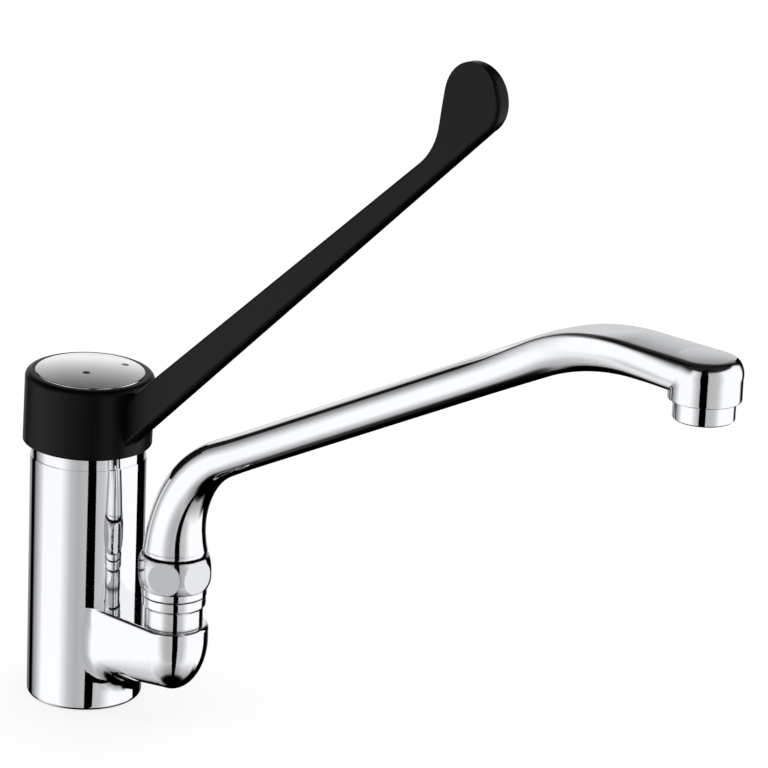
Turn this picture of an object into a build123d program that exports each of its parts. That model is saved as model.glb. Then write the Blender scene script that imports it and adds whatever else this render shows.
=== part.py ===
from build123d import *
import os
from math import asin, atan2, cos, degrees, hypot, radians, sin, sqrt, tan

# Single-lever kitchen faucet with a low front outlet, a swivel spout and a long paddle lever.
# Millimetres. Origin at the centre of the base face, +Z up, +X towards the spout and the lever.

# Fits
running_gap = 0.08
thread_gap = 0.06
seat_gap = 0.03
loose_gap = 0.3

# Cast body
body_radius = 27.0
body_height = 118.0
base_round = 2.5
mouth_depth = 6.5
mouth_step = 2.0
chamber_radius = 20.0
chamber_depth = 38.0
chamber_floor = body_height - chamber_depth
mouth_radius = chamber_radius + mouth_step

# Underside
inlet_radius = 4.45
inlet_thread_length = 14.0
inlet_bore_radius = 4.0
stud_radius = 3.4
stud_hole_depth = 15.0
gasket_inner = 19.6
gasket_outer = 22.4
gasket_height = 2.0

# Port pattern, shared by the body, the cartridge base and the discs
inlet_x = -6.0
inlet_y = 8.0
outlet_x = 10.0
outlet_bore_radius = 4.2

# Low outlet arm and elbow: flat on top, the section under it from the body to the elbow
spout_x = 59.4
elbow_radius = 16.2
elbow_top = 51.6
elbow_dome_centre = 45.0
elbow_dome_height = 25.3
arm_root_x = 15.0
arm_root_centre = 26.0
arm_root_height = 12.0
elbow_top_round = 1.6
arm_body_blend = 12.0
arm_bore_radius = 6.5
arm_bore_start = 27.0
arm_bore_end = 29.2

# Outlet neck
neck_radius = 13.5
neck_thread_radius = 13.15
neck_screw_radius = 11.5
neck_screw_length = 9.0
bead_radius = 14.7
bead_bottom = 61.6
bead_top = 65.9
bead_cone = 1.4
collar_radius = 15.0
collar_top = 69.7
bead_groove = 0.6
bead_edge_round = 0.5
neck_top = 76.5
neck_seal_height = 1.2
neck_seal_inner = 11.9
neck_seal_outer = 12.9

# Swivel nut
nut_across_flats = 31.0
nut_bottom = 70.0
nut_top = 85.5
nut_ball_radius = 17.35
nut_corner_angle = 28.4
nut_web = 5.4
nut_web_hole = 11.6

# Spout stem inside the nut and neck
stem_top_radius = 11.4
stem_radius = 9.5
stem_wall = 0.5
stem_bottom = 45.0
spout_seal_heights = (50.0, 56.0)
spout_seal_section = 2.0
ring_height = 3.2
ring_outer = 12.8
ring_groove_depth = 0.9
ring_slit = 1.2

# Spout
spout_base_radius = 14.8
spout_base_height = 2.0
spout_base_round = 1.6
bend_start = 90.3
bend_radius = 55.0
tube_radius = 8.6
tube_wall = 1.6
bend_shares = (0, 0.2, 0.45, 0.68, 0.86, 1)
bend_swells = (5.8, 4.3, 3.1, 1.8, 0.65, 0.05)
bend_tail = (12.0, 28.0)
spout_reach = 300.5
nose_bend_radius = 115.0
nose_level_length = 34.31284
nose_axis_height = 245.0
nose_top_margin = 0.2
nose_top = nose_axis_height + tube_radius + nose_top_margin
nose_flat_half_width = 12.4
nose_lead = (40.0, 20.0)
nose_drawn_radius = 8.6
nose_swell = (8.6, 7.6, 8.7, 9.6, 0.8, 6.2, 6.2, 8.9)
nose_shoulder = (11.6, 8.9, 9.2, 12.0, 1.6, 6.6, 6.6, 9.2)
nose_flanks = ((12.6, 2.0, 6.8, 6.7, 9.0), (13.3, 1.5, 8.0, 6.8, 8.5), (12.6, 1.5, 8.6, 6.9, 7.6))
nose_flat_ends = (12.4, 12.4, 11.2)
nose_end_overlap = 3.0
outlet_radius = 15.0
outlet_drop = 8.9
outlet_bottom = nose_axis_height - outlet_drop
outlet_shoulder_drop = 8.0
outlet_edge_round = 0.7
outlet_thread_radius = 12.0
outlet_seat_drop = 1.4
outlet_seat_height = nose_axis_height - outlet_seat_drop
outlet_chamber_radius = 9.0
outlet_roof = 3.6
outlet_chamber_top = nose_top - outlet_roof
nose_passage_radius = 3.9
nose_passage_lift = 3.0

# Aerator
aerator_drop = 8.2
aerator_bottom = outlet_bottom - aerator_drop
aerator_ring_radius = 12.7
aerator_thread_length = 5.5
aerator_bore = 10.4
aerator_lip = 1.2
aerator_lip_radius = 9.3
aerator_grid_pitch = 2.7
aerator_grid_hole = 1.9
aerator_grid_count = 7
aerator_grid_thickness = 1.6
aerator_edge = 0.6

# Lever pivot and tilts, in degrees from the vertical towards the spout
pivot_depth = 8.0
pivot_height = body_height - pivot_depth
hub_tilt = 1.8
stem_tilt = 12.5

# Cover ring, concentric with the pivot
cover_radius = 26.4
cover_wall = 1.5
cover_ball_radius = 29.9
cover_web = 2.0
cover_opening = 13.2
clamp_collar_radius = 20.0
clamp_collar_height = 3.0
clamp_slot_length = 9.0
clamp_slot_width = 4.0
clamp_slot_depth = 1.6
clamp_slots = 4

# Cartridge
cartridge_radius = chamber_radius - loose_gap
housing_wall = 3.1
housing_bore = cartridge_radius - housing_wall
cartridge_base_height = 8.0
port_seal_inner = 4.3
port_seal_outer = 5.6
port_seal_height = 1.5
port_radius = 3.6
fixed_disc_margin = 0.8
fixed_disc_radius = housing_bore - fixed_disc_margin
fixed_disc_height = 4.3
fixed_disc_recess = 4.0
moving_disc_step = 3.5
moving_disc_radius = fixed_disc_radius - moving_disc_step
moving_disc_height = 3.4
moving_pocket_length = 17.0
moving_pocket_width = 9.0
moving_pocket_depth = 1.8
carrier_margin = 0.7
carrier_radius = moving_disc_radius + carrier_margin
carrier_height = 7.6
carrier_skirt = 1.4
housing_height = 32.0
housing_shoulder = chamber_floor + housing_height
rotor_radius = housing_bore - loose_gap
rotor_step = 2.6
rotor_neck_radius = rotor_radius - rotor_step
housing_collar_wall = 2.2
housing_collar_radius = rotor_neck_radius + housing_collar_wall
housing_collar_height = 3.5
rotor_height = 8.3
rotor_lift = 20.0
rotor_bottom = chamber_floor + rotor_lift
rotor_neck_height = 16.5
rotor_neck_top = rotor_bottom + rotor_neck_height
rotor_slot_length = 14.4
pin_radius = 1.5
pin_inset = 0.7
pin_length = 2 * (rotor_neck_radius - pin_inset)
ball_radius = 3.4
ball_distance = 12.5
stem_foot_radius = 2.72

# Cartridge stem and what holds the lever on it
rod_radius = 4.5
square_size = 8.0
square_start = 30.0
stem_length = 37.0
hub_screw_radius = 2.5
hub_screw_depth = 12.0
screw_head_radius = 4.2
screw_head_height = 3.6
screw_head_round = 0.8
screw_socket = 4.0
screw_socket_depth = 2.52
screw_end_gap = 1.0
insert_radius = 6.4
insert_height = 1.2

# Lever hub, its own axis set back from the pivot
hub_offset = -1.4
hub_radius = 30.0
hub_bottom = 14.8
hub_top = 47.9
hub_bottom_round = 2.6
hub_top_round = 3.0
hub_ball_radius = 30.9
hub_web = 3.0
hub_pocket_radius = 23.6
hub_ledge = 45.7
boss_radius = 8.6
boss_start = 32.0
boss_top = 38.0
boss_socket_lead = 4.0

# Lever bar and paddle, outline in the plane of symmetry
bar_root_thickness = 9.6
bar_tip_thickness = 7.6
bar_edge_round = 2.0
bar_root_x = 22.0
bar_top_rise = 35.9
bar_top_angle = 40.55
bar_bottom_rise = 13.2
bar_bottom_angle = 42.2
paddle_centre_x = 230.1
paddle_centre_rise = 222.6
paddle_radius = 15.9
paddle_side_angle = 84.0
paddle_neck_radius = 30.0
paddle_heel_drop = 14.3
paddle_thinning_angle = 6.5
paddle_thinning_start = 6.0

# Index cap
cap_radius = 25.4
cap_edge = 48.3
cap_rise = 1.9
cap_wall = 1.6
cap_edge_round = 0.5
cap_skirt_radius = 23.4
cap_skirt_wall = 1.4
cap_skirt_depth = 5.0
dot_radius = 1.75
red_dot_place = (4.8, -6.9)
blue_dot_place = (5.6, 16.6)
dot_depth = 1.3

os.makedirs("parts", exist_ok=True)

pivot = Vector(0, 0, pivot_height)


# A direction in the plane of symmetry, leaning from the vertical towards the spout
def leaning(angle):
    return Vector(sin(radians(angle)), 0, cos(radians(angle)))


# The same, as a plane square to that direction, at a distance from the pivot
def square_to(angle, distance):
    lean = leaning(angle)
    return Plane(origin=pivot + lean * distance, x_dir=(lean.Z, 0, -lean.X), z_dir=lean)


hub_across = leaning(hub_tilt + 90)
hub_root = pivot + hub_across * hub_offset
hub_axis = Axis(hub_root, leaning(hub_tilt))
hub_section = Plane(origin=hub_root, x_dir=hub_across, z_dir=(0, -1, 0))


# Plane square to the hub's own axis, at a distance from its root
def hub_level(distance):
    return Plane(origin=hub_root, x_dir=hub_across, z_dir=leaning(hub_tilt)).offset(distance)


spout_axis = Axis((spout_x, 0, 0), (0, 0, 1))
spout_profile = Plane(origin=(spout_x, 0, 0), x_dir=(1, 0, 0), z_dir=(0, -1, 0))

# Cast body with the outlet arm and the elbow
ports = [(inlet_x, -inlet_y), (inlet_x, inlet_y)]
bore_rise = degrees(atan2(arm_bore_end - arm_bore_start, spout_x))
bore_plane = Plane(
    origin=(0, 0, arm_bore_start),
    x_dir=(0, 1, 0),
    z_dir=leaning(90 - bore_rise),
)
arm_sections = [
    (arm_root_x, arm_root_centre, arm_root_height),
    (spout_x, elbow_dome_centre, elbow_dome_height),
]
with BuildPart() as mixer_body:
    # arm, between two sections with round undersides
    for section_x, centre_z, depth in arm_sections:
        with BuildSketch(Plane(origin=(section_x, 0, 0), x_dir=(0, 1, 0), z_dir=(1, 0, 0))):
            with BuildLine():
                Line((-elbow_radius, centre_z), (-elbow_radius, elbow_top))
                Line((-elbow_radius, elbow_top), (elbow_radius, elbow_top))
                Line((elbow_radius, elbow_top), (elbow_radius, centre_z))
                EllipticalCenterArc(
                    (0, centre_z),
                    elbow_radius,
                    depth,
                    start_angle=180,
                    arc_size=180,
                )
            make_face()
    loft(ruled=True)
    # front half of the elbow, turned on the swivel axis
    with BuildSketch(Plane(origin=(spout_x, 0, 0), x_dir=(0, 1, 0), z_dir=(1, 0, 0))):
        with BuildLine():
            Line((0, elbow_dome_centre - elbow_dome_height), (0, elbow_top))
            Line((0, elbow_top), (elbow_radius, elbow_top))
            Line((elbow_radius, elbow_top), (elbow_radius, elbow_dome_centre))
            EllipticalCenterArc(
                (0, elbow_dome_centre),
                elbow_radius,
                elbow_dome_height,
                start_angle=270,
                arc_size=90,
            )
        make_face()
    revolve(axis=spout_axis, revolution_arc=-180)
    top_edges = mixer_body.edges().group_by(Axis.Z)[-1]
    fillet(top_edges.filter_by(lambda e: (e @ 0.5).X > arm_root_x + 1), elbow_top_round)
    # main cylinder, blended with the sides of the arm but not with its top
    with BuildSketch(Plane.XY):
        Circle(body_radius)
    extrude(amount=body_height)
    body_seams = mixer_body.edges().filter_by(lambda e: (e @ 0.5).X > arm_root_x)
    body_seams = body_seams.filter_by(lambda e: 1 < (e @ 0.5).Z < elbow_top - elbow_top_round / 2)
    body_seams = body_seams.filter_by(lambda e: abs(hypot((e @ 0.5).X, (e @ 0.5).Y) - body_radius) < 0.05)
    fillet(body_seams.filter_by(lambda e: abs((e @ 0.5).Y) > 1), arm_body_blend)
    with BuildSketch(Plane.XY.offset(elbow_top)):
        Rectangle(2 * spout_x, 4 * body_radius, align=(Align.MIN, Align.CENTER))
    extrude(amount=body_height, mode=Mode.SUBTRACT)
    with BuildSketch(Plane.XY.offset(chamber_floor / 2)):
        Circle(body_radius)
    extrude(amount=body_height - chamber_floor / 2)
    base_rims = mixer_body.edges().filter_by(GeomType.CIRCLE).group_by(Axis.Z)[0]
    fillet(base_rims, base_round)
    # cartridge chamber and its mouth
    with BuildSketch(Plane.XY.offset(chamber_floor)):
        Circle(chamber_radius)
    extrude(amount=body_height - chamber_floor, mode=Mode.SUBTRACT)
    with BuildSketch(Plane.XY.offset(body_height - mouth_depth)):
        Circle(mouth_radius)
    extrude(amount=mouth_depth, mode=Mode.SUBTRACT)
    # inlets, drilled from below
    with BuildSketch(Plane.XY):
        with Locations(ports):
            Circle(inlet_radius)
    extrude(amount=inlet_thread_length, mode=Mode.SUBTRACT)
    with BuildSketch(Plane.XY.offset(inlet_thread_length)):
        with Locations(ports):
            Circle(inlet_bore_radius)
    extrude(amount=chamber_floor - inlet_thread_length, mode=Mode.SUBTRACT)
    # stud hole
    with BuildSketch(Plane.XY):
        with Locations((outlet_x, 0)):
            Circle(stud_radius)
    extrude(amount=stud_hole_depth, mode=Mode.SUBTRACT)
    # gasket groove
    with BuildSketch(Plane.XY):
        Circle(gasket_outer)
        Circle(gasket_inner, mode=Mode.SUBTRACT)
    extrude(amount=gasket_height, mode=Mode.SUBTRACT)
    # water way: down from the chamber, along the arm, up to the neck
    with BuildSketch(Plane.XY.offset(arm_bore_start)):
        with Locations((outlet_x, 0)):
            Circle(outlet_bore_radius)
    extrude(amount=chamber_floor - arm_bore_start, mode=Mode.SUBTRACT)
    with BuildSketch(bore_plane.offset(outlet_x - outlet_bore_radius)):
        Circle(arm_bore_radius)
    extrude(amount=spout_x - outlet_x + outlet_bore_radius, mode=Mode.SUBTRACT)
    with BuildSketch(Plane.XY.offset(arm_bore_end)):
        with Locations((spout_x, 0)):
            Circle(stem_radius)
    extrude(amount=elbow_top - arm_bore_end, mode=Mode.SUBTRACT)
    # screw thread and seal recess for the neck
    with BuildSketch(Plane.XY.offset(elbow_top - neck_screw_length - loose_gap)):
        with Locations((spout_x, 0)):
            Circle(neck_screw_radius + thread_gap)
    extrude(amount=neck_screw_length + loose_gap, mode=Mode.SUBTRACT)
    with BuildSketch(Plane.XY.offset(elbow_top - neck_seal_height)):
        with Locations((spout_x, 0)):
            Circle(neck_seal_outer)
    extrude(amount=neck_seal_height, mode=Mode.SUBTRACT)
mixer_body.part.label = "mixer_body"
export_step(mixer_body.part, "parts/mixer_body.step")

# Ring seal under the base
with BuildPart() as base_gasket:
    with BuildSketch(Plane.XY):
        Circle(gasket_outer - seat_gap)
        Circle(gasket_inner + seat_gap, mode=Mode.SUBTRACT)
    extrude(amount=gasket_height - seat_gap)
base_gasket.part.label = "base_gasket"
export_step(base_gasket.part, "parts/base_gasket.step")

# Outlet neck, a turned nipple with a bead
with BuildPart() as outlet_neck:
    with BuildSketch(spout_profile):
        with BuildLine():
            Polyline(
                (stem_radius + running_gap, elbow_top - neck_screw_length),
                (neck_screw_radius, elbow_top - neck_screw_length),
                (neck_screw_radius, elbow_top),
                (neck_radius, elbow_top),
                (neck_radius, bead_bottom - bead_cone),
                (bead_radius, bead_bottom),
                (bead_radius, bead_top),
                (bead_radius - bead_groove, bead_top),
                (bead_radius - bead_groove, bead_top + bead_groove),
                (collar_radius, bead_top + bead_groove),
                (collar_radius, collar_top),
                (neck_thread_radius, collar_top),
                (neck_thread_radius, neck_top),
                (stem_radius + running_gap, neck_top),
                close=True,
            )
        make_face()
    revolve(axis=spout_axis)
    bead_edges = outlet_neck.edges().filter_by(GeomType.CIRCLE)
    bead_edges = bead_edges.filter_by(lambda e: abs(e.radius - bead_radius) < 0.01)
    fillet(bead_edges, bead_edge_round)
outlet_neck.part.label = "outlet_neck"
export_step(outlet_neck.part, "parts/outlet_neck.step")

# Seal under the neck's flange
with BuildPart() as neck_seal:
    with BuildSketch(Plane.XY.offset(elbow_top - neck_seal_height + seat_gap)):
        with Locations((spout_x, 0)):
            Circle(neck_seal_outer - seat_gap)
            Circle(neck_seal_inner, mode=Mode.SUBTRACT)
    extrude(amount=neck_seal_height - 2 * seat_gap)
neck_seal.part.label = "neck_seal"
export_step(neck_seal.part, "parts/neck_seal.step")

# Union nut: a hexagon whose corners are turned to a ball, so that each flat is round
with BuildPart() as swivel_nut:
    with BuildSketch(Plane.XY.offset(nut_bottom)):
        with Locations((spout_x, 0)):
            RegularPolygon(nut_across_flats / 2, 6, major_radius=False, rotation=nut_corner_angle)
    extrude(amount=nut_top - nut_bottom)
    with Locations((spout_x, 0, (nut_bottom + nut_top) / 2)):
        Sphere(nut_ball_radius, mode=Mode.INTERSECT)
    with BuildSketch(Plane.XY.offset(nut_bottom)):
        with Locations((spout_x, 0)):
            Circle(neck_thread_radius + thread_gap)
    extrude(amount=nut_top - nut_web - nut_bottom, mode=Mode.SUBTRACT)
    with BuildSketch(Plane.XY.offset(nut_bottom)):
        with Locations((spout_x, 0)):
            Circle(nut_web_hole)
    extrude(amount=nut_top - nut_bottom, mode=Mode.SUBTRACT)
swivel_nut.part.label = "swivel_nut"
export_step(swivel_nut.part, "parts/swivel_nut.step")

# Centre line of the spout: up, over, along the common tangent of its two bends, level at the outlet
outlet_axis_x = spout_x + spout_reach
nose_end_x = outlet_axis_x - nose_level_length
centres_run = nose_end_x - spout_x - bend_radius
centres_rise = nose_axis_height - nose_bend_radius - bend_start
rise = atan2(centres_rise, centres_run)
rise += asin((nose_bend_radius - bend_radius) / hypot(centres_run, centres_rise))
rise_angle = degrees(rise)
bend_end_x = spout_x + bend_radius * (1 - sin(rise))
bend_end_z = bend_start + bend_radius * cos(rise)
nose_start_x = nose_end_x - nose_bend_radius * sin(rise)
nose_start_z = nose_axis_height - nose_bend_radius * (1 - cos(rise))


# Plane square to the first bend, at a turn from the vertical
def bend_plane(turn):
    t = radians(turn)
    x = spout_x + bend_radius * (1 - cos(t))
    z = bend_start + bend_radius * sin(t)
    return Plane(origin=(x, 0, z), x_dir=(0, 1, 0), z_dir=(sin(t), 0, cos(t)))


# Plane square to the straight run, at a distance from the start of the nose bend
def run_plane(distance):
    x = nose_start_x + distance * cos(rise)
    z = nose_start_z + distance * sin(rise)
    return Plane(origin=(x, 0, z), x_dir=(0, 1, 0), z_dir=(cos(rise), 0, sin(rise)))


# Plane square to the nose bend, where the centre line still rises at an angle
def nose_plane(angle):
    a = radians(angle)
    x = nose_end_x - nose_bend_radius * sin(a)
    z = nose_axis_height - nose_bend_radius * (1 - cos(a))
    return Plane(origin=(x, 0, z), x_dir=(0, 1, 0), z_dir=(cos(a), 0, sin(a)))


# Plane across the level part of the nose
def level_plane(x):
    return Plane(origin=(x, 0, nose_axis_height), x_dir=(0, 1, 0), z_dir=(1, 0, 0))


bend_turn = 90 - rise_angle
run_length = (nose_start_x - bend_end_x) / cos(rise)
passage_radius = tube_radius - tube_wall
stem_bore_radius = stem_radius - spout_seal_section - stem_wall
spout_root = Plane(origin=(spout_x, 0, 0), x_dir=(0, 1, 0), z_dir=(0, 0, 1))

# Nose sections: half width of the flat and its height, crown, widest half width and its height,
# half width and drop of the lower corner, depth
round_corner = tube_radius * sin(radians(45))
round_section = 2 * (round_corner,) + 2 * (tube_radius,) + (0,) + 2 * (round_corner,) + (tube_radius,)
flat_height = nose_top - nose_axis_height
level_stations = (nose_end_x, outlet_axis_x - outlet_radius, outlet_axis_x + nose_end_overlap)
nose_sections = [(run_plane(-lead), round_section) for lead in nose_lead]
for angle, section in ((rise_angle, nose_swell), (rise_angle / 2, nose_shoulder)):
    scaled = [size * tube_radius / nose_drawn_radius for size in section]
    nose_sections.append((nose_plane(angle), scaled))
for x, flat, flank in zip(level_stations, nose_flat_ends, nose_flanks):
    nose_sections.append((level_plane(x), (flat, flat_height, flat_height, *flank)))

# Spout, hollow from the stem to the outlet
outlet_section = Plane(origin=(outlet_axis_x, 0, 0), x_dir=(1, 0, 0), z_dir=(0, -1, 0))
outlet_line = Axis((outlet_axis_x, 0, 0), (0, 0, 1))
ring_top = nut_top - nut_web - seat_gap
with BuildPart() as spout:
    # turned base and stem
    with BuildSketch(spout_profile) as stem_profile:
        with BuildLine():
            Polyline(
                (0, stem_bottom),
                (stem_radius, stem_bottom),
                (stem_radius, ring_top - ring_height - seat_gap),
                (stem_radius - ring_groove_depth, ring_top - ring_height - seat_gap),
                (stem_radius - ring_groove_depth, ring_top),
                (stem_top_radius, ring_top),
                (stem_top_radius, nut_top + loose_gap),
                (spout_base_radius, nut_top + loose_gap),
                (spout_base_radius, bend_start - spout_base_height),
                (0, bend_start - spout_base_height),
                close=True,
            )
        make_face()
        foot = stem_profile.vertices().sort_by(Axis.X)[-2:].sort_by(Axis.Y)[0]
        fillet(foot, spout_base_round)
    revolve(axis=spout_axis)
    # tapering bend
    with BuildSketch(spout_root.offset(bend_start - spout_base_height)):
        Circle(spout_base_radius)
    for share, swell in zip(bend_shares, bend_swells):
        with BuildSketch(bend_plane(share * bend_turn)):
            Circle(tube_radius + swell)
    for tail in bend_tail:
        with BuildSketch(run_plane(tail - run_length)):
            Circle(tube_radius)
    loft()
    # straight run
    extrude(spout.faces().sort_by(Axis.X)[-1], amount=run_length - bend_tail[-1] - nose_lead[0])
    # nose, from the round tube to the flat-topped section
    for plane, section in nose_sections:
        flat, top, crown, wide, wide_height, low, drop, depth = section
        with BuildSketch(plane):
            with BuildLine():
                if crown > top:
                    ThreePointArc((flat, top), (0, crown), (-flat, top))
                else:
                    Line((flat, top), (-flat, top))
                ThreePointArc((-flat, top), (-wide, wide_height), (-low, -drop))
                ThreePointArc((-low, -drop), (0, -depth), (low, -drop))
                ThreePointArc((low, -drop), (wide, wide_height), (flat, top))
            make_face()
    loft()
    # outlet boss
    with BuildSketch(outlet_section) as boss_profile:
        with BuildLine():
            Line((0, outlet_bottom), (0, nose_top))
            Line((0, nose_top), (nose_flat_half_width, nose_top))
            TangentArc(
                (outlet_radius, nose_top - outlet_shoulder_drop),
                (nose_flat_half_width, nose_top),
                tangent=(0, 1),
            )
            Line((outlet_radius, nose_top - outlet_shoulder_drop), (outlet_radius, outlet_bottom))
            Line((outlet_radius, outlet_bottom), (0, outlet_bottom))
        make_face()
        low_corner = boss_profile.vertices().group_by(Axis.Y)[0].sort_by(Axis.X)[-1]
        fillet(low_corner, outlet_edge_round)
    revolve(axis=outlet_line)
    # seal grooves round the stem
    for height in spout_seal_heights:
        with BuildSketch(Plane.XY.offset(height)):
            with Locations((spout_x, 0)):
                Circle(stem_radius + running_gap)
                Circle(stem_radius - spout_seal_section, mode=Mode.SUBTRACT)
        extrude(amount=spout_seal_section + 2 * seat_gap, mode=Mode.SUBTRACT)
    # water way through stem, bend and run
    with BuildSketch(spout_root.offset(stem_bottom)):
        Circle(stem_bore_radius)
    extrude(amount=bend_start - stem_bottom, mode=Mode.SUBTRACT)
    with BuildLine(Plane.XZ) as water_line:
        CenterArc((spout_x + bend_radius, bend_start), bend_radius, 180, -bend_turn)
        Line((bend_end_x, bend_end_z), (nose_start_x, nose_start_z))
    with BuildSketch(spout_root.offset(bend_start)):
        Circle(passage_radius)
    sweep(path=water_line.wires()[0], mode=Mode.SUBTRACT)
    # water way through the nose, rising over the outlet thread
    for plane, radius in (
        (nose_plane(rise_angle), passage_radius),
        (nose_plane(rise_angle * 0.5), passage_radius - 0.6),
        (nose_plane(0), passage_radius - 1.6),
        (level_plane(outlet_axis_x - outlet_thread_radius).offset(-2), nose_passage_radius),
        (level_plane(outlet_axis_x), nose_passage_radius),
    ):
        lift = nose_passage_lift * (passage_radius - radius)
        with BuildSketch(plane):
            with Locations((0, lift / (passage_radius - nose_passage_radius))):
                Circle(radius)
    loft(mode=Mode.SUBTRACT)
    # outlet: thread bore, washer seat and chamber
    with BuildSketch(Plane.XY.offset(outlet_bottom)):
        with Locations((outlet_axis_x, 0)):
            Circle(outlet_thread_radius)
    extrude(amount=outlet_seat_height - outlet_bottom, mode=Mode.SUBTRACT)
    with BuildSketch(Plane.XY.offset(outlet_seat_height)):
        with Locations((outlet_axis_x, 0)):
            Circle(outlet_chamber_radius)
    extrude(amount=outlet_chamber_top - outlet_seat_height, mode=Mode.SUBTRACT)
spout.part.label = "spout"
export_step(spout.part, "parts/spout.step")

# Ring seals in the stem's grooves
with BuildPart() as spout_seals:
    for height in spout_seal_heights:
        with BuildSketch(Plane.XY.offset(height + seat_gap)):
            with Locations((spout_x, 0)):
                Circle(stem_radius + running_gap / 2)
                Circle(stem_radius - spout_seal_section + seat_gap, mode=Mode.SUBTRACT)
        extrude(amount=spout_seal_section)
spout_seals.part.label = "spout_seals"
export_step(spout_seals.part, "parts/spout_seals.step")

# Split ring that keeps the stem under the nut's web
with BuildPart() as retaining_ring:
    with BuildSketch(Plane.XY.offset(ring_top - ring_height)):
        with Locations((spout_x, 0)):
            Circle(ring_outer)
            Circle(stem_radius - ring_groove_depth + running_gap, mode=Mode.SUBTRACT)
        with Locations((spout_x - stem_radius, 0)):
            Rectangle(2 * ring_outer - stem_radius, ring_slit, mode=Mode.SUBTRACT)
    extrude(amount=ring_height - seat_gap)
retaining_ring.part.label = "retaining_ring"
export_step(retaining_ring.part, "parts/retaining_ring.step")

# Aerator ring, turned, with its screw thread inside the nose
aerator_shoulder = outlet_bottom - seat_gap
aerator_top = aerator_shoulder + aerator_thread_length
with BuildPart() as aerator_housing:
    with BuildSketch(outlet_section):
        with BuildLine():
            Polyline(
                (aerator_lip_radius, aerator_bottom),
                (aerator_ring_radius, aerator_bottom),
                (aerator_ring_radius, aerator_shoulder),
                (outlet_thread_radius - thread_gap, aerator_shoulder),
                (outlet_thread_radius - thread_gap, aerator_top),
                (aerator_bore, aerator_top),
                (aerator_bore, aerator_bottom + aerator_lip),
                (aerator_lip_radius, aerator_bottom + aerator_lip),
                close=True,
            )
        make_face()
    revolve(axis=outlet_line)
    lip_edges = aerator_housing.edges().filter_by(GeomType.CIRCLE).group_by(Axis.Z)[0]
    chamfer(lip_edges.sort_by(SortBy.RADIUS)[-1], aerator_edge)
aerator_housing.part.label = "aerator_housing"
export_step(aerator_housing.part, "parts/aerator_housing.step")

# Jet former, a cup with a square grid at its mouth
grid_steps = [aerator_grid_pitch * (i - aerator_grid_count // 2) for i in range(aerator_grid_count)]
grid_reach = aerator_lip_radius - aerator_grid_hole / 2
grid_holes = [(outlet_axis_x + x, y) for x in grid_steps for y in grid_steps if x**2 + y**2 < grid_reach**2]
with BuildPart() as aerator_insert:
    insert_bottom = aerator_bottom + aerator_lip + seat_gap
    with BuildSketch(Plane.XY.offset(insert_bottom)):
        with Locations((outlet_axis_x, 0)):
            Circle(aerator_bore - seat_gap)
    extrude(amount=aerator_top - insert_bottom)
    with BuildSketch(Plane.XY.offset(insert_bottom + aerator_grid_thickness)):
        with Locations((outlet_axis_x, 0)):
            Circle(aerator_lip_radius)
    extrude(amount=aerator_top - insert_bottom, mode=Mode.SUBTRACT)
    with BuildSketch(Plane.XY.offset(insert_bottom)):
        with Locations(grid_holes):
            Rectangle(aerator_grid_hole, aerator_grid_hole)
    extrude(amount=aerator_grid_thickness, mode=Mode.SUBTRACT)
aerator_insert.part.label = "aerator_insert"
export_step(aerator_insert.part, "parts/aerator_insert.step")

# Flat washer between the aerator and its seat
with BuildPart() as aerator_washer:
    with BuildSketch(Plane.XY.offset(aerator_top + seat_gap)):
        with Locations((outlet_axis_x, 0)):
            Circle(outlet_thread_radius - loose_gap)
            Circle(outlet_chamber_radius, mode=Mode.SUBTRACT)
    extrude(amount=outlet_seat_height - aerator_top - 2 * seat_gap)
aerator_washer.part.label = "aerator_washer"
export_step(aerator_washer.part, "parts/aerator_washer.step")

# Ring seals under the three ports
all_ports = ports + [(outlet_x, 0)]
with BuildPart() as port_seals:
    with BuildSketch(Plane.XY.offset(chamber_floor + seat_gap)):
        with Locations(all_ports):
            Circle(port_seal_outer - seat_gap)
            Circle(port_seal_inner + seat_gap, mode=Mode.SUBTRACT)
    extrude(amount=port_seal_height - seat_gap)
port_seals.part.label = "port_seals"
export_step(port_seals.part, "parts/port_seals.step")

# Cartridge base with its port holes, seal recesses and disc recess
base_bottom = chamber_floor + seat_gap
base_top = chamber_floor + cartridge_base_height
with BuildPart() as cartridge_base:
    with BuildSketch(Plane.XY.offset(base_bottom)):
        Circle(cartridge_radius)
    extrude(amount=base_top - base_bottom)
    with BuildSketch(Plane.XY.offset(base_top - fixed_disc_recess)):
        Circle(fixed_disc_radius + running_gap)
    extrude(amount=fixed_disc_recess, mode=Mode.SUBTRACT)
    with BuildSketch(Plane.XY.offset(base_bottom)):
        with Locations(all_ports):
            Circle(port_radius)
    extrude(amount=base_top - base_bottom, mode=Mode.SUBTRACT)
    with BuildSketch(Plane.XY.offset(base_bottom)):
        with Locations(all_ports):
            Circle(port_seal_outer)
            Circle(port_seal_inner, mode=Mode.SUBTRACT)
    extrude(amount=port_seal_height, mode=Mode.SUBTRACT)
cartridge_base.part.label = "cartridge_base"
export_step(cartridge_base.part, "parts/cartridge_base.step")

# Fixed ceramic disc
fixed_bottom = base_top - fixed_disc_recess + seat_gap
fixed_top = fixed_bottom + fixed_disc_height
with BuildPart() as fixed_disc:
    with BuildSketch(Plane.XY.offset(fixed_bottom)):
        Circle(fixed_disc_radius)
        with Locations(all_ports):
            Circle(port_radius, mode=Mode.SUBTRACT)
    extrude(amount=fixed_disc_height)
fixed_disc.part.label = "fixed_disc"
export_step(fixed_disc.part, "parts/fixed_disc.step")

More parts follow.
